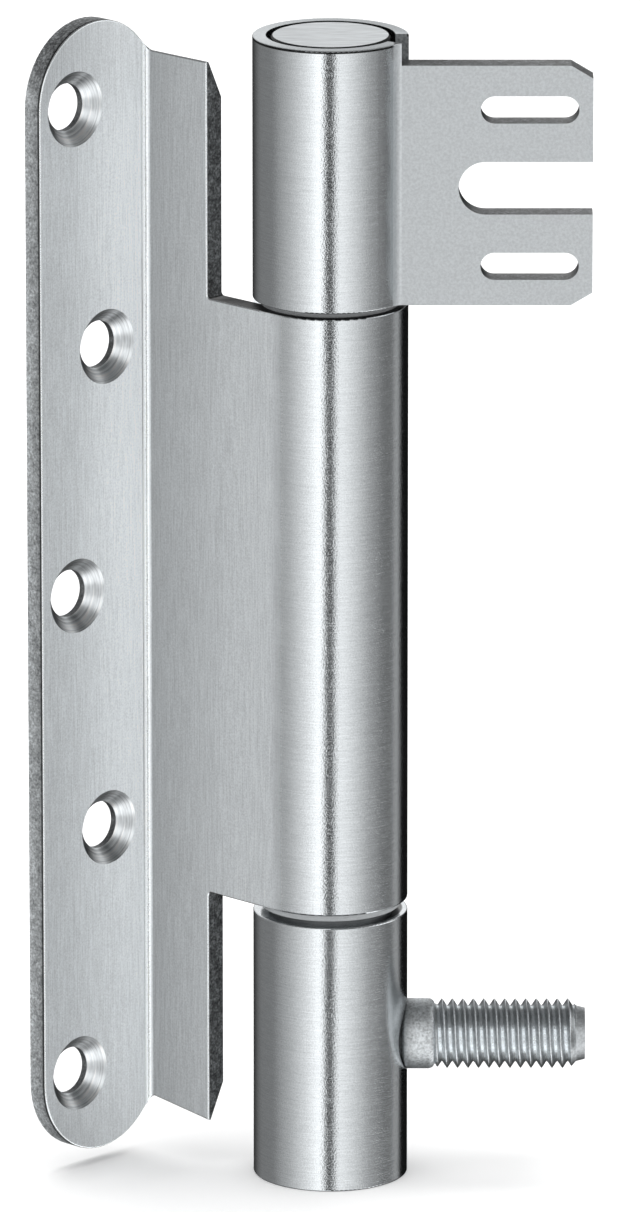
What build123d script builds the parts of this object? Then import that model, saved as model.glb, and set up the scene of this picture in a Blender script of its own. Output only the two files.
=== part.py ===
from build123d import *
import math
import os

# Barrel door hinge. Origin on the hinge axis at the bottom face of the lower
# knuckle, +Z up along the axis, +X along the frame tab and the stud, -Y towards
# the side the screw plate faces. Millimetres.

# ---- barrel ---------------------------------------------------------------
BARREL_R = 11.0          # outer radius of all three knuckles
LOWER_Z1 = 39.1          # top of the lower knuckle
MID_Z0 = 40.85           # bottom of the middle knuckle
MID_Z1 = 128.05          # top of the middle knuckle
UPPER_Z0 = 128.8         # bottom of the upper knuckle
UPPER_Z1 = 166.5         # top of the upper knuckle
RIM_R = 0.2             # rounding of the knuckle rims

# ---- pin and bushes -------------------------------------------------------
PIN_R = 6.0              # hinge pin
PIN_Z0 = 5.0             # floor of the blind bore in the lower knuckle
PIN_Z1 = 158.0           # top of the pin
FIT = 0.02               # radial play of the fixed fits
RUN = 0.05               # radial play of the bushes on the pin
BUSH_LEN = 30.0
BUSH_FLANGE_R = 9.9
LOWER_FLANGE_T = 1.0
UPPER_FLANGE_T = 0.5
WASHER_R = 8.8
WASHER_T = 0.6

# ---- door leaf ------------------------------------------------------------
LEAF_ANGLE = 44.0        # swing of the flange away from +X, towards -Y
LEAF_T = 3.0             # sheet
LEAF_C = 85.05           # middle of the screw plate's height
LEAF_H = 165.5           # height of the screw plate
PLATE_X = -25.8         # front face of the screw plate, along the flange
PLATE_FAR = 31.9         # free edge of the screw plate
END_R = 11.45             # round ends of the screw plate
BEND_R = 1.2             # inside radius of the fold
NOTCH_X = -13.65         # edge of the notches that clear the frame knuckles
NOTCH_R = 0.6            # inner corners of the notches
ROLL_END = 216.0         # where the roll of the middle knuckle stops
KINK = 10.3              # where the round end turns into the bevel of the flange
BEVEL_H = 4.9            # height of the bevel behind the flange ends
DIP = 1.35               # the flange's lower end is cut askew by this much
LEAF_EDGE = 0.25          # fine rounding of the sheared edges
SCREW_R = 3.4
SINK_R = 5.4
SCREW_OUT = 24.9         # outer screw row
SCREW_IN = 18.8          # inner screw row
SCREW_DZ = 35.35         # height step from screw to screw

# ---- upper frame leaf -----------------------------------------------------
TAB_T = 4.0              # sheet
TAB_FRONT = -5.7         # front face of the tab
TAB_X1 = 36.8            # end of the tab
TAB_Z1 = 163.3           # top edge of the tab
TAB_BEND = 1.2           # inside radius where the tab leaves the roll
ROLL_STOP_Y = 0.5        # face where the roll of the upper knuckle stops
TIP_X = 9.95             # tip that the tab's root leaves in the rim
CAP_SEAT_R = 9.1
CAP_SEAT_Z = 163.9
SLOT_C = 27.95            # middle of the closed slots
SLOT_L = 13.8
SLOT_W = 3.9
SLOT_Z = 145.7           # middle of the slot group
SLOT_DZ = 11.25
OPEN_W = 7.55             # open slot
OPEN_X0 = 17.95           # its round end
CORNER_X = 3.1
CORNER_Z = 1.85

# ---- cap ------------------------------------------------------------------
CAP_R = 8.4

# ---- stud -----------------------------------------------------------------
STUD_Z = 20.3
STUD_SEAT_X = 9.4        # flat seat of the collar in the lower knuckle
NECK_R = 4.0
NECK_X0 = 6.2
COLLAR_R = 5.05
COLLAR_X1 = 15.1
THREAD_R = 5.0
THREAD_X1 = 36.4
THREAD_END_R = 3.9
THREAD_END_L = 1.3

os.makedirs("parts", exist_ok=True)

TAB_BACK = TAB_FRONT + TAB_T
UPPER_IN = BARREL_R - TAB_T
MID_IN = BARREL_R - LEAF_T

# Leaf directions: ALONG runs down the flange towards the barrel, OUT is the
# direction the flange faces and the screw plate points.
a = math.radians(LEAF_ANGLE)
ALONG = Vector(math.cos(a), -math.sin(a), 0)
OUT = Vector(-math.sin(a), -math.cos(a), 0)


def in_leaf(p):
    """Leaf coordinates (along, out, height) of a point."""
    return (p.X * ALONG.X + p.Y * ALONG.Y, p.X * OUT.X + p.Y * OUT.Y, p.Z)


def near(value, target, tol=0.02):
    return abs(value - target) < tol


# ---------------------------------------------------------------------------
# door leaf: one sheet, folded at the screw plate and rolled to the knuckle
# ---------------------------------------------------------------------------
leaf_z0 = LEAF_C - LEAF_H / 2
leaf_z1 = LEAF_C + LEAF_H / 2
plate_mid = PLATE_FAR - END_R
end_drop = END_R - math.sqrt(END_R**2 - (plate_mid - BARREL_R) ** 2)
flange_z0 = leaf_z0 + end_drop
flange_z1 = leaf_z1 - end_drop
kink_drop = END_R - math.sqrt(END_R**2 - (plate_mid - KINK) ** 2)
kink_z0 = leaf_z0 + kink_drop
kink_z1 = leaf_z1 - kink_drop
slope = BEVEL_H * (KINK - MID_IN + 0.5) / (KINK - MID_IN)

plan = Plane(origin=(0, 0, leaf_z0), x_dir=ALONG, z_dir=(0, 0, 1))
side = Plane(origin=(0, 0, 0), x_dir=OUT, z_dir=-ALONG)
face = Plane(origin=ALONG * PLATE_X, x_dir=-OUT, z_dir=ALONG)

with BuildPart() as door_leaf:
    with BuildSketch(plan):
        with BuildLine():
            stop = math.radians(ROLL_END)
            Line((PLATE_X - LEAF_T, -PLATE_FAR), (PLATE_X, -PLATE_FAR))
            Line((PLATE_X, -PLATE_FAR), (PLATE_X, -BARREL_R - BEND_R))
            CenterArc((PLATE_X + BEND_R, -BARREL_R - BEND_R), BEND_R, 180, -90)
            Line((PLATE_X + BEND_R, -BARREL_R), (0, -BARREL_R))
            CenterArc((0, 0), BARREL_R, -90, ROLL_END + 90)
            Line(
                (BARREL_R * math.cos(stop), BARREL_R * math.sin(stop)),
                (MID_IN * math.cos(stop), MID_IN * math.sin(stop)),
            )
            CenterArc((0, 0), MID_IN, ROLL_END, -(ROLL_END + 90))
            Line((0, -MID_IN), (PLATE_X + BEND_R, -MID_IN))
            CenterArc(
                (PLATE_X + BEND_R, -BARREL_R - BEND_R), BEND_R + LEAF_T, 90, 90
            )
            Line((PLATE_X - LEAF_T, -BARREL_R - BEND_R), (PLATE_X - LEAF_T, -PLATE_FAR))
        make_face()
    extrude(amount=LEAF_H)
    # outline of the blank: round screw plate ends, flange ends bevelled behind
    with BuildSketch(side):
        with BuildLine():
            Polyline(
                (KINK, kink_z1), (MID_IN - 0.5, kink_z1 - slope), (-BARREL_R - 5, kink_z1 - slope),
                (-BARREL_R - 5, kink_z0 + slope - 2), (MID_IN - 0.5, kink_z0 + slope - 2),
                (BARREL_R, flange_z0 - 2), (BARREL_R, flange_z0),
            )
            ThreePointArc(
                (BARREL_R, flange_z0), (plate_mid, leaf_z0), (PLATE_FAR, leaf_z0 + END_R)
            )
            Line((PLATE_FAR, leaf_z0 + END_R), (PLATE_FAR, leaf_z1 - END_R))
            ThreePointArc(
                (PLATE_FAR, leaf_z1 - END_R), (plate_mid, leaf_z1), (KINK, kink_z1)
            )
        make_face()
    extrude(amount=60, both=True, mode=Mode.INTERSECT)
    # lower end of the flange, askew and bevelled behind
    dip_x = PLATE_X + BEND_R
    askew = ALONG * (NOTCH_X - dip_x) + Vector(0, 0, -DIP)
    behind = OUT * -LEAF_T + Vector(0, 0, kink_z0 + BEVEL_H - flange_z0)
    below = askew.cross(behind)
    if below.Z > 0:
        below = below * -1
    with BuildSketch(
        Plane(origin=ALONG * dip_x + OUT * BARREL_R + Vector(0, 0, flange_z0), x_dir=askew, z_dir=below)
    ):
        Rectangle(90, 16)
    extrude(amount=40, mode=Mode.SUBTRACT)
    # notches that leave room for the frame knuckles
    with BuildSketch(plan.offset(MID_Z1 - leaf_z0)):
        with BuildLine():
            Polyline((NOTCH_X, -16), (16, -16), (16, 16), (NOTCH_X, 16), close=True)
        make_face()
    extrude(amount=50, mode=Mode.SUBTRACT)
    with BuildSketch(plan.offset(MID_Z0 - leaf_z0)):
        with BuildLine():
            Polyline((NOTCH_X, -16), (16, -16), (16, 16), (NOTCH_X, 16), close=True)
        make_face()
    extrude(amount=-50, mode=Mode.SUBTRACT)
    # small radius in the inner corners of the notches
    fillet(
        door_leaf.edges().filter_by(
            lambda e: all(
                near(in_leaf(e.position_at(t))[0], NOTCH_X)
                and (
                    near(in_leaf(e.position_at(t))[2], MID_Z0)
                    or near(in_leaf(e.position_at(t))[2], MID_Z1)
                )
                for t in (0.0, 0.5, 1.0)
            )
        ),
        NOTCH_R,
    )

    # fine rounding along the front outline of the sheet and the knuckle rims
    def front_edge(e):
        pts = [in_leaf(e.position_at(t)) for t in (0.0, 0.5, 1.0)]
        if all(near(p[0], PLATE_X) for p in pts):
            return not all(near(p[1], BARREL_R + BEND_R) for p in pts)
        ends = all(
            near(p[2], flange_z0 - DIP * (p[0] - dip_x) / (NOTCH_X - dip_x)) or near(p[2], flange_z1)
            for p in pts
        )
        rims = all(near(p[2], MID_Z0) or near(p[2], MID_Z1) for p in pts)
        notch = all(near(p[0], NOTCH_X) for p in pts)
        if all(near(p[1], BARREL_R) for p in pts):
            return ends or rims or notch
        return rims and all(near(math.hypot(p[0], p[1]), BARREL_R) for p in pts)

    fillet(door_leaf.edges().filter_by(front_edge), LEAF_EDGE)
    # screws, staggered in two rows, countersunk from the front
    with Locations(
        *[
            face.location * Location((-out, LEAF_C + k * SCREW_DZ, 0))
            for k, out in (
                (-2, SCREW_OUT), (-1, SCREW_IN), (0, SCREW_OUT),
                (1, SCREW_IN), (2, SCREW_OUT),
            )
        ]
    ):
        CounterSinkHole(SCREW_R, SINK_R, depth=6, counter_sink_angle=90)
door_leaf.part.label = "door_leaf"
export_step(door_leaf.part, "parts/door_leaf.step")

# ---------------------------------------------------------------------------
# upper frame leaf: knuckle rolled from the sheet of the tab
# ---------------------------------------------------------------------------
root_x = math.sqrt(BARREL_R**2 - TAB_FRONT**2)
root_deg = math.degrees(math.atan2(TAB_FRONT, root_x))
stop_out = math.sqrt(BARREL_R**2 - ROLL_STOP_Y**2)
stop_in = math.sqrt(UPPER_IN**2 - ROLL_STOP_Y**2)
stop_out_deg = math.degrees(math.asin(ROLL_STOP_Y / BARREL_R))
stop_in_deg = math.degrees(math.asin(ROLL_STOP_Y / UPPER_IN))
back_x = math.sqrt(UPPER_IN**2 - TAB_BACK**2)
back_deg = math.degrees(math.atan2(TAB_BACK, back_x))

with BuildPart() as upper_frame_leaf:
    with BuildSketch(Plane.XY.offset(UPPER_Z0)) as roll:
        with BuildLine():
            Line((TAB_X1, TAB_BACK), (TAB_X1, TAB_FRONT))
            Line((TAB_X1, TAB_FRONT), (root_x, TAB_FRONT))
            CenterArc((0, 0), BARREL_R, root_deg, -(360 + root_deg - stop_out_deg))
            Line((stop_out, ROLL_STOP_Y), (stop_in, ROLL_STOP_Y))
            CenterArc((0, 0), UPPER_IN, stop_in_deg, 360 + back_deg - stop_in_deg)
            Line((back_x, TAB_BACK), (TAB_X1, TAB_BACK))
        make_face()
        fillet(
            roll.vertices().filter_by(
                lambda v: near(v.X, root_x) and near(v.Y, TAB_FRONT)
            ),
            TAB_BEND,
        )
        fillet(
            roll.vertices().filter_by(
                lambda v: near(v.X, back_x) and near(v.Y, TAB_BACK)
            ),
            TAB_BEND + 2.2,
        )
    extrude(amount=UPPER_Z1 - UPPER_Z0)
    # the tab stops below the rim, and its root runs out there in a tip
    with BuildSketch(Plane.XY.offset(UPPER_Z1)):
        with BuildLine():
            Polyline(
                (4, TAB_FRONT + 1.6), (7.6, TAB_FRONT + 1.6), (TIP_X, TAB_FRONT + 0.12),
                (TIP_X, TAB_FRONT - 4), (TAB_X1 + 5, TAB_FRONT - 4),
                (TAB_X1 + 5, ROLL_STOP_Y), (4, ROLL_STOP_Y), close=True,
            )
        make_face()
    extrude(amount=TAB_Z1 - UPPER_Z1, mode=Mode.SUBTRACT)
    # seat of the cap
    with BuildSketch(Plane.XY.offset(UPPER_Z1)):
        Circle(CAP_SEAT_R)
    extrude(amount=CAP_SEAT_Z - UPPER_Z1, mode=Mode.SUBTRACT)
    # slots and cut corners of the tab
    with BuildSketch(Plane.XZ.offset(-TAB_BACK - 2)):
        with Locations((SLOT_C, SLOT_Z - SLOT_DZ), (SLOT_C, SLOT_Z + SLOT_DZ)):
            SlotOverall(SLOT_L, SLOT_W)
        with BuildLine():
            Line((TAB_X1 + 4, SLOT_Z - OPEN_W / 2), (OPEN_X0 + OPEN_W / 2, SLOT_Z - OPEN_W / 2))
            ThreePointArc(
                (OPEN_X0 + OPEN_W / 2, SLOT_Z - OPEN_W / 2),
                (OPEN_X0, SLOT_Z),
                (OPEN_X0 + OPEN_W / 2, SLOT_Z + OPEN_W / 2),
            )
            Line((OPEN_X0 + OPEN_W / 2, SLOT_Z + OPEN_W / 2), (TAB_X1 + 4, SLOT_Z + OPEN_W / 2))
            Line((TAB_X1 + 4, SLOT_Z + OPEN_W / 2), (TAB_X1 + 4, SLOT_Z - OPEN_W / 2))
        make_face()
        with BuildLine():
            Polyline(
                (TAB_X1 - CORNER_X, TAB_Z1), (TAB_X1, TAB_Z1 - CORNER_Z),
                (TAB_X1 + 1, TAB_Z1 - CORNER_Z), (TAB_X1 + 1, TAB_Z1 + 1),
                (TAB_X1 - CORNER_X, TAB_Z1 + 1), close=True,
            )
        make_face()
        with BuildLine():
            Polyline(
                (TAB_X1 - CORNER_X, UPPER_Z0), (TAB_X1, UPPER_Z0 + CORNER_Z),
                (TAB_X1 + 1, UPPER_Z0 + CORNER_Z), (TAB_X1 + 1, UPPER_Z0 - 1),
                (TAB_X1 - CORNER_X, UPPER_Z0 - 1), close=True,
            )
        make_face()
    extrude(amount=TAB_T + 4, mode=Mode.SUBTRACT)
    # rims of the roll
    fillet(
        upper_frame_leaf.edges().filter_by(
            lambda e: e.geom_type == GeomType.CIRCLE
            and near(e.radius, BARREL_R)
            and near(e.position_at(0).Z, e.position_at(1).Z)
            and near(e.arc_center.X, 0)
        ),
        RIM_R,
    )
upper_frame_leaf.part.label = "upper_frame_leaf"
export_step(upper_frame_leaf.part, "parts/upper_frame_leaf.step")

# ---------------------------------------------------------------------------
# lower frame knuckle: turned, blind bore, flat seat for the stud
# ---------------------------------------------------------------------------
with BuildPart() as lower_frame_knuckle:
    with BuildSketch(Plane.XZ):
        with BuildLine():
            Polyline(
                (0, 0), (BARREL_R, 0), (BARREL_R, LOWER_Z1),
                (PIN_R + FIT, LOWER_Z1), (PIN_R + FIT, PIN_Z0), (0, PIN_Z0), close=True,
            )
        make_face()
    revolve(axis=Axis.Z)
    fillet(
        lower_frame_knuckle.edges()
        .filter_by(GeomType.CIRCLE)
        .filter_by(lambda e: near(e.radius, BARREL_R)),
        RIM_R,
    )
    with BuildSketch(Plane.YZ.offset(STUD_SEAT_X)):
        with Locations((0, STUD_Z)):
            Circle(COLLAR_R + 0.05)
    extrude(amount=6, mode=Mode.SUBTRACT)
    with BuildSketch(Plane.YZ.offset(STUD_SEAT_X)):
        with Locations((0, STUD_Z)):
            Circle(NECK_R + FIT)
    extrude(amount=-6, mode=Mode.SUBTRACT)
lower_frame_knuckle.part.label = "lower_frame_knuckle"
export_step(lower_frame_knuckle.part, "parts/lower_frame_knuckle.step")

# ---------------------------------------------------------------------------
# stud: neck in the knuckle, collar, thread along +X
# ---------------------------------------------------------------------------
with BuildPart() as fixing_stud:
    with BuildSketch(Plane.XZ):
        with BuildLine():
            Polyline(
                (NECK_X0, STUD_Z), (NECK_X0, STUD_Z + NECK_R),
                (STUD_SEAT_X, STUD_Z + NECK_R), (STUD_SEAT_X, STUD_Z + COLLAR_R),
                (COLLAR_X1, STUD_Z + COLLAR_R), (COLLAR_X1, STUD_Z + THREAD_R - 0.9),
                (COLLAR_X1 + 0.5, STUD_Z + THREAD_R - 0.9), (COLLAR_X1 + 0.9, STUD_Z + THREAD_R),
                (THREAD_X1 - THREAD_END_L, STUD_Z + THREAD_R),
                (THREAD_X1, STUD_Z + THREAD_END_R), (THREAD_X1, STUD_Z), close=True,
            )
        make_face()
    revolve(axis=Axis((0, 0, STUD_Z), (1, 0, 0)))
    fillet(
        fixing_stud.edges()
        .filter_by(GeomType.CIRCLE)
        .filter_by(lambda e: near(e.radius, COLLAR_R) and near(e.arc_center.X, COLLAR_X1)),
        0.9,
    )
fixing_stud.part.label = "fixing_stud"
export_step(fixing_stud.part, "parts/fixing_stud.step")

# ---------------------------------------------------------------------------
# pin, and the sleeve that centres it in the upper roll
# ---------------------------------------------------------------------------
with BuildPart() as hinge_pin:
    with BuildSketch(Plane.XY.offset(PIN_Z0)):
        Circle(PIN_R)
    extrude(amount=PIN_Z1 - PIN_Z0)
    chamfer(hinge_pin.edges().filter_by(GeomType.CIRCLE), 0.6)
hinge_pin.part.label = "hinge_pin"
export_step(hinge_pin.part, "parts/hinge_pin.step")

with BuildPart() as upper_pin_sleeve:
    with BuildSketch(Plane.XY.offset(UPPER_Z0 + 0.3)):
        Circle(UPPER_IN - FIT)
        Circle(PIN_R + FIT, mode=Mode.SUBTRACT)
    extrude(amount=CAP_SEAT_Z - UPPER_Z0 - 0.3)
upper_pin_sleeve.part.label = "upper_pin_sleeve"
export_step(upper_pin_sleeve.part, "parts/upper_pin_sleeve.step")

# ---------------------------------------------------------------------------
# cap: disc flush with the rim, short stem in the sleeve
# ---------------------------------------------------------------------------
with BuildPart() as top_cap:
    with BuildSketch(Plane.XY.offset(CAP_SEAT_Z)):
        Circle(CAP_R)
    extrude(amount=UPPER_Z1 - CAP_SEAT_Z)
    chamfer(
        top_cap.faces().sort_by(Axis.Z)[-1].edges().filter_by(GeomType.CIRCLE), 0.25
    )
    with BuildSketch(Plane.XY.offset(CAP_SEAT_Z)):
        Circle(PIN_R)
    extrude(amount=-5)
top_cap.part.label = "top_cap"
export_step(top_cap.part, "parts/top_cap.step")

# ---------------------------------------------------------------------------
# flanged bushes of the middle knuckle and the thrust washer under it
# ---------------------------------------------------------------------------
with BuildPart() as lower_bearing_bush:
    with BuildSketch(Plane.XY.offset(MID_Z0)):
        Circle(MID_IN - FIT)
        Circle(PIN_R + RUN, mode=Mode.SUBTRACT)
    extrude(amount=BUSH_LEN)
    with BuildSketch(Plane.XY.offset(MID_Z0)):
        Circle(BUSH_FLANGE_R)
        Circle(PIN_R + RUN, mode=Mode.SUBTRACT)
    extrude(amount=-LOWER_FLANGE_T)
lower_bearing_bush.part.label = "lower_bearing_bush"
export_step(lower_bearing_bush.part, "parts/lower_bearing_bush.step")

with BuildPart() as upper_bearing_bush:
    with BuildSketch(Plane.XY.offset(MID_Z1)):
        Circle(MID_IN - FIT)
        Circle(PIN_R + RUN, mode=Mode.SUBTRACT)
    extrude(amount=-BUSH_LEN)
    with BuildSketch(Plane.XY.offset(MID_Z1)):
        Circle(BUSH_FLANGE_R)
        Circle(PIN_R + RUN, mode=Mode.SUBTRACT)
    extrude(amount=UPPER_FLANGE_T)
upper_bearing_bush.part.label = "upper_bearing_bush"
export_step(upper_bearing_bush.part, "parts/upper_bearing_bush.step")

with BuildPart() as lower_thrust_washer:
    with BuildSketch(Plane.XY.offset(LOWER_Z1)):
        Circle(WASHER_R)
        Circle(PIN_R + FIT, mode=Mode.SUBTRACT)
    extrude(amount=WASHER_T)
lower_thrust_washer.part.label = "lower_thrust_washer"
export_step(lower_thrust_washer.part, "parts/lower_thrust_washer.step")
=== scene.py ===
import math

import bmesh
import bpy
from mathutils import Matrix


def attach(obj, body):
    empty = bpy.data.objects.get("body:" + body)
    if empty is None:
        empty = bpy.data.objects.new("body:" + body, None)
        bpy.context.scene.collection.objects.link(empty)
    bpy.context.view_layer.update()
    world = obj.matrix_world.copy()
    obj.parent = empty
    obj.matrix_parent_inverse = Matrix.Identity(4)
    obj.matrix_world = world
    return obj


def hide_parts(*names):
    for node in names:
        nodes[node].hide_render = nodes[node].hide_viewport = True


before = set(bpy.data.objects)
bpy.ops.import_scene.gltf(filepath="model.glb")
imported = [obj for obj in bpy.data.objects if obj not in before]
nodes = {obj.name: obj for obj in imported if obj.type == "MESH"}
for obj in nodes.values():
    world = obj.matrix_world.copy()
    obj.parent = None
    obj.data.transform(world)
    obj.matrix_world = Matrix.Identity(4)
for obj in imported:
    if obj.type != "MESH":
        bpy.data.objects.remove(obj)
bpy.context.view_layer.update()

scene = bpy.context.scene
MM = 0.001

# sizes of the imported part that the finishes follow, in metres
BARREL_R = 11.0 * MM
LEAF = math.radians(44.0)
PLATE_X = -25.8 * MM
NOTCH_X = -13.65 * MM
SCREW_OUT, SCREW_IN = 24.9 * MM, 18.8 * MM
SCREW_Z, SCREW_DZ = 85.05 * MM, 35.35 * MM
SINK_R = 5.4 * MM
TOP_Z = 166.5 * MM
CAP_SEAT_R = 9.1 * MM
STUD_Z = 20.3


# ---------------------------------------------------------------------------
# node helpers
# ---------------------------------------------------------------------------
class Tree:
    """Short names for the nodes used below. A value is a number or a socket."""

    def __init__(self, tree):
        self.t = tree

    def new(self, kind):
        return self.t.nodes.new(kind)

    def put(self, socket, value):
        if isinstance(value, bpy.types.NodeSocket):
            self.t.links.new(value, socket)
        else:
            socket.default_value = value

    def math(self, op, a, b=None, c=None):
        n = self.new("ShaderNodeMath")
        n.operation = op
        for i, v in enumerate((a, b, c)):
            if v is not None:
                self.put(n.inputs[i], v)
        return n.outputs[0]

    def add(self, a, b):
        return self.math("ADD", a, b)

    def sub(self, a, b):
        return self.math("SUBTRACT", a, b)

    def mul(self, a, b):
        return self.math("MULTIPLY", a, b)

    def both(self, *masks):
        out = masks[0]
        for m in masks[1:]:
            out = self.mul(out, m)
        return out

    def either(self, *masks):
        out = masks[0]
        for m in masks[1:]:
            out = self.math("MAXIMUM", out, m)
        return out

    def off(self, mask):
        return self.sub(1.0, mask)

    def span(self, value, a, b, c=0.0, d=1.0, smooth=True):
        n = self.new("ShaderNodeMapRange")
        if smooth:
            n.interpolation_type = "SMOOTHSTEP"
        self.put(n.inputs["Value"], value)
        n.inputs["From Min"].default_value = a
        n.inputs["From Max"].default_value = b
        n.inputs["To Min"].default_value = c
        n.inputs["To Max"].default_value = d
        return n.outputs["Result"]

    def mix(self, fac, a, b):
        n = self.new("ShaderNodeMix")
        n.data_type = "FLOAT"
        self.put(n.inputs[0], fac)
        self.put(n.inputs[2], a)
        self.put(n.inputs[3], b)
        return n.outputs[0]

    def mix_colour(self, fac, a, b, how="MIX"):
        n = self.new("ShaderNodeMix")
        n.data_type = "RGBA"
        n.blend_type = how
        self.put(n.inputs[0], fac)
        for i, v in ((6, a), (7, b)):
            self.put(n.inputs[i], (*v, 1.0) if isinstance(v, tuple) else v)
        return n.outputs[2]

    def mix_vector(self, fac, a, b):
        n = self.new("ShaderNodeMix")
        n.data_type = "VECTOR"
        self.put(n.inputs[0], fac)
        self.put(n.inputs[4], a)
        self.put(n.inputs[5], b)
        return n.outputs[1]

    def scaled(self, vector, sx, sy, sz):
        n = self.new("ShaderNodeVectorMath")
        n.operation = "MULTIPLY"
        self.put(n.inputs[0], vector)
        n.inputs[1].default_value = (sx, sy, sz)
        return n.outputs[0]

    def dot(self, vector, axis):
        n = self.new("ShaderNodeVectorMath")
        n.operation = "DOT_PRODUCT"
        self.put(n.inputs[0], vector)
        n.inputs[1].default_value = axis
        return n.outputs["Value"]

    def noise(self, vector, detail=2.0, rough=0.5, scale=1.0):
        n = self.new("ShaderNodeTexNoise")
        self.put(n.inputs["Vector"], vector)
        n.inputs["Scale"].default_value = scale
        n.inputs["Detail"].default_value = detail
        n.inputs["Roughness"].default_value = rough
        return n.outputs["Fac"]

    def ramp(self, fac, stops):
        n = self.new("ShaderNodeValToRGB")
        self.put(n.inputs[0], fac)
        e = n.color_ramp.elements
        while len(e) < len(stops):
            e.new(1.0)
        for el, (p, c) in zip(e, stops):
            el.position = p
            el.color = (*c, 1.0)
        return n.outputs[0]

    def xyz(self, vector):
        n = self.new("ShaderNodeSeparateXYZ")
        self.put(n.inputs[0], vector)
        return n.outputs[0], n.outputs[1], n.outputs[2]

    def vec(self, x, y, z):
        n = self.new("ShaderNodeCombineXYZ")
        for i, v in enumerate((x, y, z)):
            self.put(n.inputs[i], v)
        return n.outputs[0]


def tint(v):
    """The steel's slightly cool grey of a given lightness."""
    return (0.935 * v, 0.976 * v, 1.0 * v)


class Steel:
    """A metal with brushed grain in object space. Looks are layered on with masks, then closed with done()."""

    def __init__(self, name, aniso=0.0):
        self.m = bpy.data.materials.new(name)
        self.m.use_nodes = True
        self.m.node_tree.nodes.clear()
        self.n = n = Tree(self.m.node_tree)
        self.out = n.new("ShaderNodeOutputMaterial")
        self.p = n.new("ShaderNodeBsdfPrincipled")
        self.m.node_tree.links.new(self.p.outputs[0], self.out.inputs[0])
        self.p.inputs["Metallic"].default_value = 1.0
        self.p.inputs["Anisotropic"].default_value = aniso
        tc = n.new("ShaderNodeTexCoord")
        self.pos = tc.outputs["Object"]
        self.nor = tc.outputs["Normal"]
        self.x, self.y, self.z = n.xyz(self.pos)
        self.nx, self.ny, self.nz = n.xyz(self.nor)
        self.r = n.math("SQRT", n.add(n.mul(self.x, self.x), n.mul(self.y, self.y)))
        self.anz = n.math("ABSOLUTE", self.nz)

    # grain heights, each about 0 to 1
    def ring_grain(self):
        n = self.n
        line = n.noise(n.scaled(self.pos, 160.0, 160.0, 6200.0), 2.0, 0.6)
        dash = n.noise(n.scaled(self.pos, 700.0, 700.0, 5600.0), 2.0, 0.6)
        grit = n.noise(n.scaled(self.pos, 4800.0, 4800.0, 4800.0), 1.0, 0.5)
        return n.add(n.add(n.mul(line, 0.3), n.mul(dash, 0.35)), n.mul(grit, 0.35))

    def up_grain(self):
        n = self.n
        fine = n.noise(n.scaled(self.pos, 5400.0, 5400.0, 190.0), 2.0, 0.6)
        wide = n.noise(n.scaled(self.pos, 2200.0, 2200.0, 30.0), 2.0, 0.5)
        grit = n.noise(n.scaled(self.pos, 3900.0, 3900.0, 3900.0), 1.0, 0.5)
        return n.add(n.add(n.mul(fine, 0.5), n.mul(wide, 0.08)), n.mul(grit, 0.42))

    def speck(self, scale=2600.0):
        return self.n.noise(self.n.scaled(self.pos, scale, scale, scale), 2.0, 0.6)

    def cloud(self, scale=80.0):
        return self.n.noise(self.n.scaled(self.pos, scale, scale, scale), 2.0, 0.5)

    def done(self, colour, rough, height, bump=0.2, distance=0.00004, tangent=None, turn=None):
        n, p = self.n, self.p
        n.put(p.inputs["Base Color"], colour)
        n.put(p.inputs["Roughness"], rough)
        b = n.new("ShaderNodeBump")
        n.put(b.inputs["Strength"], bump)
        b.inputs["Distance"].default_value = distance
        n.put(b.inputs["Height"], height)
        n.put(p.inputs["Normal"], b.outputs[0])
        if tangent is None:
            t = n.new("ShaderNodeTangent")
            t.direction_type = "RADIAL"
            t.axis = "Z"
            tangent = t.outputs[0]
        n.put(p.inputs["Tangent"], tangent)
        if turn is not None:
            n.put(p.inputs["Anisotropic Rotation"], turn)
        return self.m


def shade(n, height, lightness, contrast):
    """Grain colour round a lightness."""
    return n.ramp(height, [(0.36, tint(lightness * (1 - contrast))), (0.64, tint(lightness * (1 + contrast)))])


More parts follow.
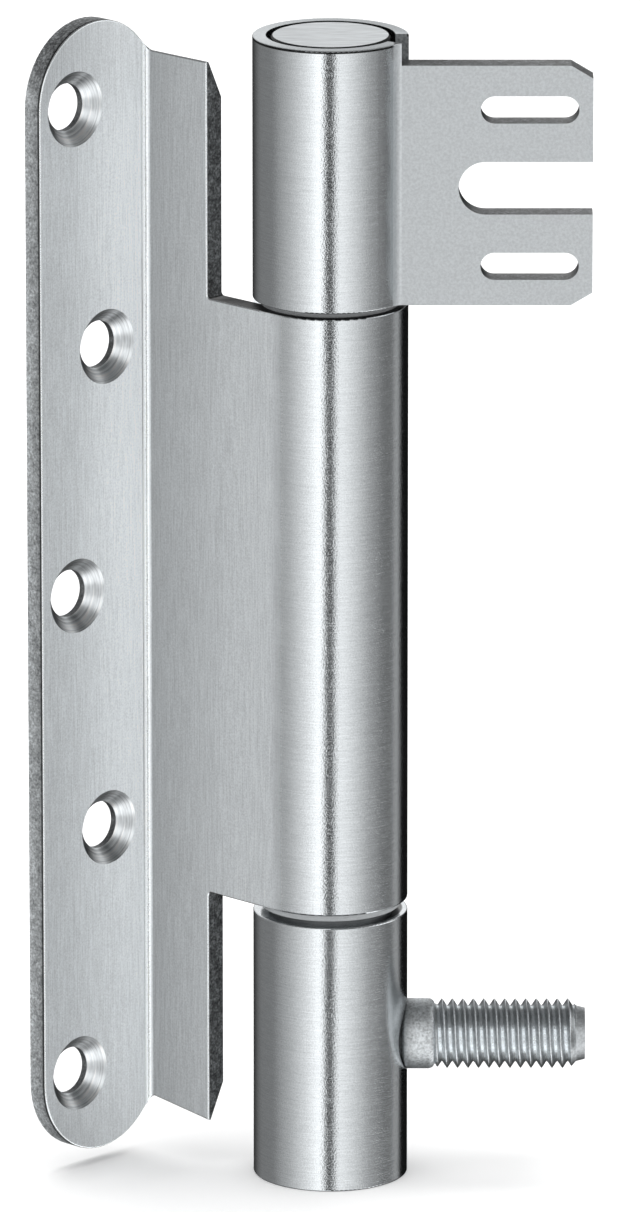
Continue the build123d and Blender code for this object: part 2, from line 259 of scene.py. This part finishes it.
# ---------------------------------------------------------------------------
# door leaf: upright grain on the plate and flange, round the roll on the
# knuckle; sheared edges, turned countersinks
# ---------------------------------------------------------------------------
def leaf_material():
    s = Steel("leaf_brushed_steel", 0.55)
    n = s.n
    along_v = (math.cos(LEAF), -math.sin(LEAF), 0)
    out_v = (-math.sin(LEAF), -math.cos(LEAF), 0)
    along, out = n.dot(s.pos, along_v), n.dot(s.pos, out_v)
    n_along, n_out = n.math("ABSOLUTE", n.dot(s.nor, along_v)), n.math("ABSOLUTE", n.dot(s.nor, out_v))
    cloud = s.cloud(90.0)
    up, ring = s.up_grain(), s.ring_grain()
    roll = n.span(n.add(along, n.mul(n.sub(cloud, 0.5), 0.002)), -1.5 * MM, 2.4 * MM)
    roll = n.either(roll, n.off(n.span(out, 7.0 * MM, 7.4 * MM)))
    plate = n.off(n.span(along, PLATE_X + 0.7 * MM, PLATE_X + 1.1 * MM))
    # sheared edges
    on_plate = n.both(
        plate, n.off(n.span(n_along, 0.25, 0.5)), n.either(n.span(out, 12.0 * MM, 12.4 * MM), n.span(s.anz, 0.3, 0.5))
    )
    flat = n.both(n.off(plate), n.off(n.span(along, -3.5 * MM, -2.5 * MM)), n.span(out, 7.0 * MM, 7.4 * MM))
    on_flange = n.both(flat, n.off(n.span(n_out, 0.25, 0.5)))
    cut_roll_end_painted_shade = n.both(n.off(plate), n.span(s.anz, 0.7, 0.85))
    sheared = n.either(on_plate, on_flange, cut_roll_end_painted_shade)
    # countersinks: distance from the nearest of the five staggered holes
    k = n.math("ROUND", n.mul(n.sub(s.z, SCREW_Z), 1.0 / SCREW_DZ))
    dz = n.sub(s.z, n.add(SCREW_Z, n.mul(k, SCREW_DZ)))
    odd = n.math("MODULO", n.math("ABSOLUTE", k), 2.0)
    do = n.sub(out, n.sub(SCREW_OUT, n.mul(odd, SCREW_OUT - SCREW_IN)))
    hole = n.math("SQRT", n.add(n.mul(do, do), n.mul(dz, dz)))
    near = n.both(plate, n.off(n.span(hole, SINK_R, SINK_R + 0.05 * MM)))
    bore_painted_shade = n.both(near, n.off(n.span(n_along, 0.2, 0.4)))
    sink = n.both(near, n.off(n.span(n_along, 0.88, 0.96)), n.off(bore_painted_shade))
    turned = n.add(
        n.mul(n.noise(n.vec(n.mul(hole, 4600.0), n.mul(dz, 130.0), n.mul(do, 130.0)), 2.0, 0.6), 0.7),
        n.mul(n.noise(n.vec(n.mul(hole, 1800.0), n.mul(s.z, 420.0), n.mul(out, 420.0)), 2.0, 0.6), 0.3),
    )
    rough_cut = n.add(n.mul(s.speck(2900.0), 0.6), n.mul(n.noise(n.scaled(s.pos, 800.0, 800.0, 800.0), 3.0, 0.6), 0.4))
    # heights and tones
    h = n.mix(roll, up, ring)
    h = n.mix(sheared, h, rough_cut)
    h = n.mix(sink, h, turned)
    # painted shade: the flange's colour darkens towards the fold
    flange_painted_shade = n.span(along, PLATE_X, NOTCH_X + 6 * MM, 0.66, 0.91, False)
    # painted shade: the plate's colour darkens towards its free edge, towards the bottom and at both ends; its back
    # face takes an even tone instead
    ends_painted_shade = n.mul(n.span(s.z, 2 * MM, 17 * MM, 0.88, 1.0), n.span(s.z, 148 * MM, 165 * MM, 1.0, 0.83))
    plate_painted_shade = n.mul(n.mul(n.span(out, 12 * MM, 31 * MM, 1.0, 0.855), n.span(s.z, 10 * MM, 90 * MM, 0.93, 1.0)), ends_painted_shade)
    behind = n.both(plate, n.off(n.span(n.dot(s.nor, along_v), -0.9, -0.6)))
    plate_painted_shade = n.mix(behind, plate_painted_shade, 0.68)
    # painted shade of plate and flange, multiplied into the grain colour below
    light = n.mix(roll, n.mix(plate, flange_painted_shade, plate_painted_shade), 0.78)
    grain = n.mix_colour(roll, shade(n, h, 1.0, 0.15), shade(n, h, 1.0, 0.11))
    base = n.mix_colour(1.0, grain, n.vec(light, light, light), "MULTIPLY")
    pale = n.ramp(rough_cut, [(0.34, tint(0.22)), (0.5, tint(0.46)), (0.66, tint(0.78))])
    dark = n.ramp(rough_cut, [(0.34, tint(0.05)), (0.5, tint(0.17)), (0.68, tint(0.48))])
    # painted shade: the plate's sheared edge takes the darker ramp where it faces upwards
    pale = n.mix_colour(n.span(s.nz, 0.1, 0.6), pale, dark)
    # painted light and shade on the plate's sheared side edge: lighter towards the back face, darker towards the front,
    # with a painted dark line just behind the rounded front edge
    edge_painted_shade = n.mul(
        n.span(along, PLATE_X - 2.8 * MM, PLATE_X - 0.6 * MM, 1.3, 0.82, False),
        n.span(along, PLATE_X - 0.62 * MM, PLATE_X - 0.42 * MM, 1.0, 0.18),
    )
    pale = n.mix_colour(1.0, pale, n.vec(edge_painted_shade, edge_painted_shade, edge_painted_shade), "MULTIPLY")
    base = n.mix_colour(on_plate, base, pale)
    base = n.mix_colour(on_flange, base, dark)
    # painted shade: the leaf's level faces off the plate, the knuckle's ends in the gaps and the notch ends, are near
    # black
    base = n.mix_colour(cut_roll_end_painted_shade, base, n.ramp(rough_cut, [(0.34, tint(0.015)), (0.68, tint(0.06))]))
    # rounded edges and the fold: polished, with lower roughness and full metal, and a painted highlight that lifts
    # their colour to full
    round_plate = n.both(plate, n.span(n_along, 0.3, 0.45), n.off(n.span(n_along, 0.955, 0.985)), n.off(near))
    round_flange = n.both(flat, n.span(n_out, 0.3, 0.45), n.off(n.span(n_out, 0.955, 0.985)))
    polished_edge_painted_highlight = n.either(round_plate, round_flange)
    base = n.mix_colour(polished_edge_painted_highlight, base, shade(n, h, 1.0, 0.05))
    base = n.mix_colour(sink, base, shade(n, turned, 0.86, 0.28))
    # painted shade: the screw bores are dark and mottled
    base = n.mix_colour(bore_painted_shade, base, n.ramp(rough_cut, [(0.3, tint(0.12)), (0.7, tint(0.42))]))
    rough = n.mix(roll, n.mix(plate, 0.44, 0.56), 0.19)
    rough = n.add(rough, n.span(n.add(n.mul(h, 0.7), n.mul(cloud, 0.3)), 0.3, 0.7, -0.05, 0.05, False))
    rough = n.mix(polished_edge_painted_highlight, n.mix(sheared, rough, 0.5), 0.26)
    rough = n.mix(sink, rough, n.add(0.22, n.mul(turned, 0.2)))
    metal = n.mix(plate, 0.75, n.mix(behind, n.span(out, 12 * MM, 31 * MM, 0.27, 0.72), 0.8))
    metal = n.mix(roll, metal, 1.0)
    metal = n.mix(n.either(sink, bore_painted_shade, polished_edge_painted_highlight), n.mix(on_plate, metal, 0.7), 1.0)
    n.put(s.p.inputs["Metallic"], metal)
    turn = n.mul(n.either(roll, sink), 0.25)
    bump = n.mix(sheared, n.mix(roll, 0.3, 0.6), 0.7)
    round_z = n.new("ShaderNodeTangent")
    round_z.direction_type = "RADIAL"
    round_z.axis = "Z"
    lathe = n.new("ShaderNodeVectorTransform")
    lathe.vector_type = "VECTOR"
    lathe.convert_from, lathe.convert_to = "OBJECT", "WORLD"
    n.put(lathe.inputs[0], n.vec(n.mul(dz, -out_v[0]), n.mul(dz, -out_v[1]), do))
    tangent = n.mix_vector(n.span(sink, 0.4, 0.6), round_z.outputs[0], lathe.outputs[0])
    return s.done(base, rough, h, bump, 0.00008, tangent, turn)


# ---------------------------------------------------------------------------
# frame knuckles: grain round the barrel, matte tab, sheared edges
# ---------------------------------------------------------------------------
def upper_material():
    s = Steel("frame_rolled_steel", 0.7)
    n = s.n
    ring, cloud = s.ring_grain(), s.cloud(90.0)
    tab = n.span(s.x, 8.6 * MM, 9.0 * MM)
    tab = n.both(tab, n.off(n.span(s.y, -1.5 * MM, -1.3 * MM)))
    fine = n.noise(n.scaled(s.pos, 2600.0, 2600.0, 2600.0), 3.0, 0.65)
    side = n.math("ABSOLUTE", s.ny)
    edge_tab = n.both(tab, n.off(n.span(side, 0.3, 0.6)))
    bore_painted_shade = n.both(n.off(n.span(s.r, CAP_SEAT_R - 0.1 * MM, CAP_SEAT_R + 0.1 * MM)), n.off(n.span(s.x, 11 * MM, 11.2 * MM)))
    underside_painted_shade = n.both(n.off(tab), n.off(n.span(s.nz, -0.9, -0.7)))
    end = n.both(n.off(tab), n.span(s.x, 6.5 * MM, 7 * MM), n.off(n.span(s.ny, -0.9, -0.75)))
    rough_cut = n.add(n.mul(s.speck(2900.0), 0.6), n.mul(n.noise(n.scaled(s.pos, 800.0, 800.0, 800.0), 3.0, 0.6), 0.4))
    sheared = n.either(edge_tab, end)
    h = n.mix(tab, ring, fine)
    h = n.mix(sheared, h, rough_cut)
    top = n.span(s.nz, 0.55, 0.7)
    rim_painted_shade = n.both(n.span(s.r, BARREL_R - 0.3 * MM, BARREL_R - 0.2 * MM), n.span(s.z, TOP_Z - 0.42 * MM, TOP_Z - 0.36 * MM), n.off(top), n.off(tab))
    base = n.mix_colour(tab, shade(n, h, 0.78, 0.11), shade(n, fine, 0.73, 0.08))
    base = n.mix_colour(sheared, base, n.ramp(rough_cut, [(0.34, tint(0.06)), (0.5, tint(0.135)), (0.68, tint(0.32))]))
    base = n.mix_colour(end, base, n.ramp(rough_cut, [(0.34, tint(0.16)), (0.68, tint(0.5))]))
    base = n.mix_colour(n.both(top, n.off(sheared)), base, shade(n, fine, 0.90, 0.06))
    # painted shade: a near-black line along the rounding of the top rim
    base = n.mix_colour(rim_painted_shade, base, n.ramp(fine, [(0.35, tint(0.01)), (0.7, tint(0.07))]))
    # painted shade: the cap seat's bore and the knuckle's downward faces are near black
    base = n.mix_colour(n.either(bore_painted_shade, underside_painted_shade), base, tint(0.05))
    rough = n.mix(tab, n.add(0.19, n.span(n.add(n.mul(h, 0.7), n.mul(cloud, 0.3)), 0.3, 0.7, -0.04, 0.04, False)), 0.46)
    rough = n.mix(n.either(sheared, top), rough, 0.45)
    n.put(s.p.inputs["Metallic"], n.mix(tab, 1.0, 0.85))
    bump = n.mix(n.either(tab, sheared), 0.6, 0.4)
    return s.done(base, rough, h, bump, 0.00008, turn=0.25)


def lower_material():
    s = Steel("frame_turned_steel", 0.7)
    n = s.n
    h, cloud = s.ring_grain(), s.cloud(90.0)
    face = n.span(s.nz, 0.8, 0.95)
    # painted highlight: the rounded rims take a lighter colour
    glint = n.both(n.span(s.nz, 0.15, 0.35), n.off(face))
    base = n.mix_colour(glint, shade(n, h, 0.75, 0.11), shade(n, h, 0.95, 0.05))
    base = n.mix_colour(face, base, n.ramp(h, [(0.35, tint(0.6)), (0.65, tint(0.95))]))
    # painted shadow: on the right side the top face is near black, all but its outer rim
    gap_painted_shadow = n.both(face, n.span(s.x, 5.0 * MM, 8.0 * MM), n.off(n.span(s.r, 10.1 * MM, 10.4 * MM)))
    base = n.mix_colour(gap_painted_shadow, base, tint(0.06))
    rough = n.add(0.19, n.span(n.add(n.mul(h, 0.7), n.mul(cloud, 0.3)), 0.3, 0.7, -0.04, 0.04, False))
    return s.done(base, rough, h, 0.6, 0.00008, turn=0.25)


def cap_material():
    s = Steel("cap_brushed_steel", 0.0)
    n = s.n
    line = n.noise(n.scaled(s.pos, 260.0, 3600.0, 260.0), 2.0, 0.6)
    wide = n.noise(n.scaled(s.pos, 60.0, 1200.0, 60.0), 2.0, 0.5)
    h = n.add(n.mul(line, 0.7), n.mul(wide, 0.3))
    # painted shade: the cap's side, chamfer and underside, down in the groove, are near black
    side = n.off(n.span(s.nz, 0.75, 0.95))
    base = n.mix_colour(side, shade(n, h, 0.835, 0.24), tint(0.05))
    return s.done(base, n.add(0.32, n.mul(h, 0.14)), h, 0.25)


def stud_material():
    """Crests and rolled roots with a painted highlight, greyer flanks with painted light below the axis and painted
    shade above, grained collar with painted shade towards the barrel.
    """
    s = Steel("stud_rolled_steel", 0.0)
    n = s.n
    up = n.sub(s.z, STUD_Z * MM)
    depth = n.math("SQRT", n.add(n.mul(s.y, s.y), n.mul(up, up)))
    collar = n.off(n.span(s.x, 14.8 * MM, 15.05 * MM))
    grit = n.noise(n.scaled(s.pos, 2700.0, 2700.0, 2700.0), 3.0, 0.7)
    fine = n.noise(n.scaled(s.pos, 2600.0, 2600.0, 2600.0), 2.0, 0.6)
    crest_root_painted_highlight = n.either(n.off(n.span(depth, 4.1 * MM, 4.34 * MM)), n.span(depth, 4.84 * MM, 4.94 * MM))
    # painted light and shade: the flanks are lighter below the axis and darker above
    painted_light_below = n.span(up, -4.0 * MM, 3.0 * MM, 1.16, 0.95)
    flank = n.mix_colour(1.0, shade(n, fine, 0.6, 0.18), n.vec(painted_light_below, painted_light_below, painted_light_below), "MULTIPLY")
    base = n.mix_colour(crest_root_painted_highlight, flank, shade(n, fine, 0.97, 0.06))
    tip = n.span(s.x, 34.7 * MM, 35.0 * MM)
    base = n.mix_colour(tip, base, shade(n, fine, 0.7, 0.15))
    # painted shade: the collar darkens towards the barrel
    collar_painted_shade = n.span(s.x, 10.3 * MM, 12.6 * MM, 0.5, 1.0)
    grained = n.ramp(grit, [(0.3, tint(0.46)), (0.5, tint(0.82)), (0.62, tint(1.0))])
    grained = n.mix_colour(1.0, grained, n.vec(collar_painted_shade, collar_painted_shade, collar_painted_shade), "MULTIPLY")
    base = n.mix_colour(collar, base, grained)
    rough = n.mix(n.either(collar, tip), n.mix(crest_root_painted_highlight, 0.36, 0.25), 0.48)
    return s.done(base, rough, n.mix(collar, fine, grit), n.mix(collar, 0.35, 0.8), 0.0001)


def plain_material(name, light, rough, metallic=1.0):
    s = Steel(name, 0.0)
    n = s.n
    s.p.inputs["Metallic"].default_value = metallic
    h = s.ring_grain()
    return s.done(shade(n, h, light, 0.12), n.add(rough - 0.06, n.mul(h, 0.12)), h, 0.2)


def assign(obj, material):
    obj.data.materials.clear()
    obj.data.materials.append(material)


stud_mat = stud_material()
pin_mat = plain_material("pin_ground_steel", 0.5, 0.3)
dark_mat = plain_material("sleeve_dark_steel", 0.04, 0.5)
for name, material in (
    ("door_leaf", leaf_material()), ("upper_frame_leaf", upper_material()),
    ("lower_frame_knuckle", lower_material()), ("fixing_stud", stud_mat), ("top_cap", cap_material()),
    ("hinge_pin", pin_mat), ("upper_pin_sleeve", dark_mat),
    # the washer's dark grey is painted shade for the lower gap
    ("lower_thrust_washer", plain_material("washer_steel_painted_shade", 0.2, 0.5)),
    # the upper bush gets a darker grey than the lower one as painted shade for the upper gap
    ("upper_bearing_bush", plain_material("bearing_upper_painted_shade", 0.38, 0.45, 0.0)),
    ("lower_bearing_bush", plain_material("bearing_lower", 0.50, 0.4, 0.0)),
):
    assign(nodes[name], material)
# the studio's ramps below already hold what the leaf shows in the barrels
nodes["door_leaf"].visible_glossy = False

# ---------------------------------------------------------------------------
# stud: neck, collar and a real right-hand M10 x 1.5 thread along +X
# ---------------------------------------------------------------------------
PITCH = 1.5
CREST_AT = 16.03           # a crest on the top side
MAJOR, MINOR = 4.99, 3.97
COLLAR_END, STUD_END = 14.9, 36.4


def thread_radius(x, turn):
    u = ((x - CREST_AT) / PITCH - (turn - math.pi / 2) / (2 * math.pi)) % 1.0
    u = min(u, 1.0 - u)                       # 0 at the crest, 0.5 at the root
    f = 1.0 - 2.0 * u
    f = 0.7 * f + 0.3 * 0.5 * (1.0 + math.cos(2 * math.pi * u))
    r = MINOR + (MAJOR - MINOR) * f
    start = (x - COLLAR_END) / 0.5            # run-out next to the collar
    if start < 1.0:
        r = 4.3 + (r - 4.3) * max(0.0, start)
    left = STUD_END - x                       # turned down end
    if left < 1.25:
        return min(r, 3.68 + left * 0.25)
    return min(r, 3.99 + (left - 1.25) * 1.1)


def collar_rows():
    """(x, r) of the neck and the rounded collar."""
    rows = [(6.2, 3.98), (10.1, 3.98)]
    for k in range(13):
        a = math.pi / 2 * k / 12
        rows.append((11.1 - 1.0 * math.cos(a), 4.04 + 1.0 * math.sin(a)))
    rows += [(11.1 + (13.9 - 11.1) * k / 12, 5.04) for k in range(1, 12)]
    for k in range(13):
        a = math.pi / 2 * k / 12
        rows.append((13.9 + (COLLAR_END - 13.9) * math.sin(a), 4.25 + 0.79 * math.cos(a)))
    return rows


AROUND_N = 96
bm = bmesh.new()
rings = []


def ring_at(x, radius):
    ring = []
    for j in range(AROUND_N):
        t = 2 * math.pi * j / AROUND_N
        r = radius(t)
        ring.append(bm.verts.new((x * MM, r * math.cos(t) * MM, (STUD_Z + r * math.sin(t)) * MM)))
    rings.append(ring)


for x, r in collar_rows():
    ring_at(x, lambda t, r=r: r)
steps = int((STUD_END - COLLAR_END) / PITCH * 30)
for k in range(1, steps + 1):
    x = COLLAR_END + (STUD_END - COLLAR_END) * k / steps
    ring_at(x, lambda t, x=x: thread_radius(x, t))
for a, b in zip(rings, rings[1:]):
    for j in range(AROUND_N):
        i = (j + 1) % AROUND_N
        bm.faces.new((a[j], a[i], b[i], b[j]))
bm.faces.new(list(rings[0]))
bm.faces.new(list(reversed(rings[-1])))
bmesh.ops.recalc_face_normals(bm, faces=bm.faces)
for f in bm.faces:
    f.smooth = len(f.verts) == 4
mesh = bpy.data.meshes.new("stud_threaded")
bm.to_mesh(mesh)
bm.free()
stud = bpy.data.objects.new("stud_threaded", mesh)
scene.collection.objects.link(stud)
assign(stud, stud_mat)
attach(stud, "frame")
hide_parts("fixing_stud")

# ---------------------------------------------------------------------------
# floor
# ---------------------------------------------------------------------------
bm = bmesh.new()
bmesh.ops.create_grid(bm, x_segments=1, y_segments=1, size=6.0)
fm = bpy.data.meshes.new("floor")
bm.to_mesh(fm)
bm.free()
floor = bpy.data.objects.new("floor", fm)
scene.collection.objects.link(floor)
floor.location = (0, 0, -0.00002)
floor.visible_glossy = False
fmat = bpy.data.materials.new("floor_pale")
fmat.use_nodes = True
fmat.node_tree.nodes.clear()
ft = Tree(fmat.node_tree)
fd = ft.new("ShaderNodeBsdfDiffuse")
fd.inputs["Color"].default_value = (0.93, 0.93, 0.93, 1)
ft.put(ft.new("ShaderNodeOutputMaterial").inputs[0], fd.outputs[0])
assign(floor, fmat)

# ---------------------------------------------------------------------------
# studio: soft boxes given by direction. Azimuth 0 is the side the screw plate
# faces (-Y), positive towards +X.
# ---------------------------------------------------------------------------
LOW = [
    (-180, 0.6), (-174, 0.03), (-155, 0.05), (-128, 0.22), (-95, 0.24), (-80, 0.40), (-62, 0.56), (-46, 0.78), (-30, 1.08), (-20, 1.42), (-11, 1.55),
    (-7.5, 0.02), (4.5, 0.02), (8, 1.2), (22, 1.02), (40, 0.73), (60, 0.42), (84, 0.19), (104, 0.17), (114, 0.42), (123, 0.36), (128, 0.005), (171, 0.005), (177, 0.6), (180, 0.6),
]
HIGH = [
    (-180, 1.05), (-150, 0.7), (-128, 0.25), (-95, 0.24), (-60, 0.5), (-24, 1.1), (22, 1.1), (60, 0.6), (80, 1.3), (118, 1.3),
    (134, 0.03), (155, 0.2), (168, 1.05), (180, 1.05),
]
DOWN = [(-180, 0.05), (-105, 0.12), (-75, 0.25), (-42, 1.2), (42, 1.3), (62, 0.8), (72, 0.9), (85, 2.0), (112, 2.0), (126, 0.05), (180, 0.05)]
world = bpy.data.worlds.new("studio")
scene.world = world
world.use_nodes = True
world.node_tree.nodes.clear()
w = Tree(world.node_tree)
coord = w.new("ShaderNodeTexCoord")
wx, wy, wz = w.xyz(coord.outputs["Generated"])
azimuth = w.math("ARCTAN2", wx, w.mul(wy, -1.0))
share = w.span(azimuth, -math.pi, math.pi, smooth=False)
rise = w.mul(w.math("ARCSINE", wz), 180.0 / math.pi)


def around(stops):
    return w.ramp(share, [((a + 180) / 360, (v, v, v)) for a, v in stops])


light = w.mix_colour(w.span(rise, 0, 14), around(LOW), around(HIGH))
light = w.mix_colour(w.span(rise, 27, 42), light, (0.16, 0.16, 0.16))
light = w.mix_colour(w.span(rise, -24, -36), light, around(DOWN))
light = w.mix_colour(w.span(rise, -58, -72), light, (0.2, 0.2, 0.2))
bg = w.new("ShaderNodeBackground")
w.put(bg.inputs["Color"], light)
plain = w.new("ShaderNodeBackground")
plain.inputs["Color"].default_value = (1, 1, 1, 1)
path = w.new("ShaderNodeLightPath")
even = w.new("ShaderNodeBackground")
even.inputs["Color"].default_value = (0.8, 0.8, 0.8, 1)
lit = w.new("ShaderNodeMixShader")
w.put(lit.inputs[0], path.outputs["Is Diffuse Ray"])
w.put(lit.inputs[1], bg.outputs[0])
w.put(lit.inputs[2], even.outputs[0])
both = w.new("ShaderNodeMixShader")
w.put(both.inputs[0], path.outputs["Is Camera Ray"])
w.put(both.inputs[1], lit.outputs[0])
w.put(both.inputs[2], plain.outputs[0])
w.put(w.new("ShaderNodeOutputWorld").inputs[0], both.outputs[0])

# large soft light overhead, for the floor
ld = bpy.data.lights.new("overhead", "AREA")
ld.shape = "RECTANGLE"
ld.size, ld.size_y = 2.5, 2.5
ld.energy = 45.0
lo = bpy.data.objects.new("overhead", ld)
scene.collection.objects.link(lo)
lo.location = (0.0, 0.2, 2.2)
lo.visible_camera = False
lo.visible_glossy = False

scene.view_settings.view_transform = "Standard"
scene.view_settings.look = "None"

# ---------------------------------------------------------------------------
# camera
# ---------------------------------------------------------------------------
cd = bpy.data.cameras.new("camera")
cam = bpy.data.objects.new("camera", cd)
scene.collection.objects.link(cam)
cam.location = (-0.00148, -1.8, 0.56419)
cam.rotation_euler = (math.radians(90 - 14.95), 0, 0)
cd.sensor_fit = "AUTO"
cd.sensor_width = 36.0
cd.lens = 13133.43 / 1212 * 36.0
cd.clip_start, cd.clip_end = 0.05, 50
scene.camera = cam
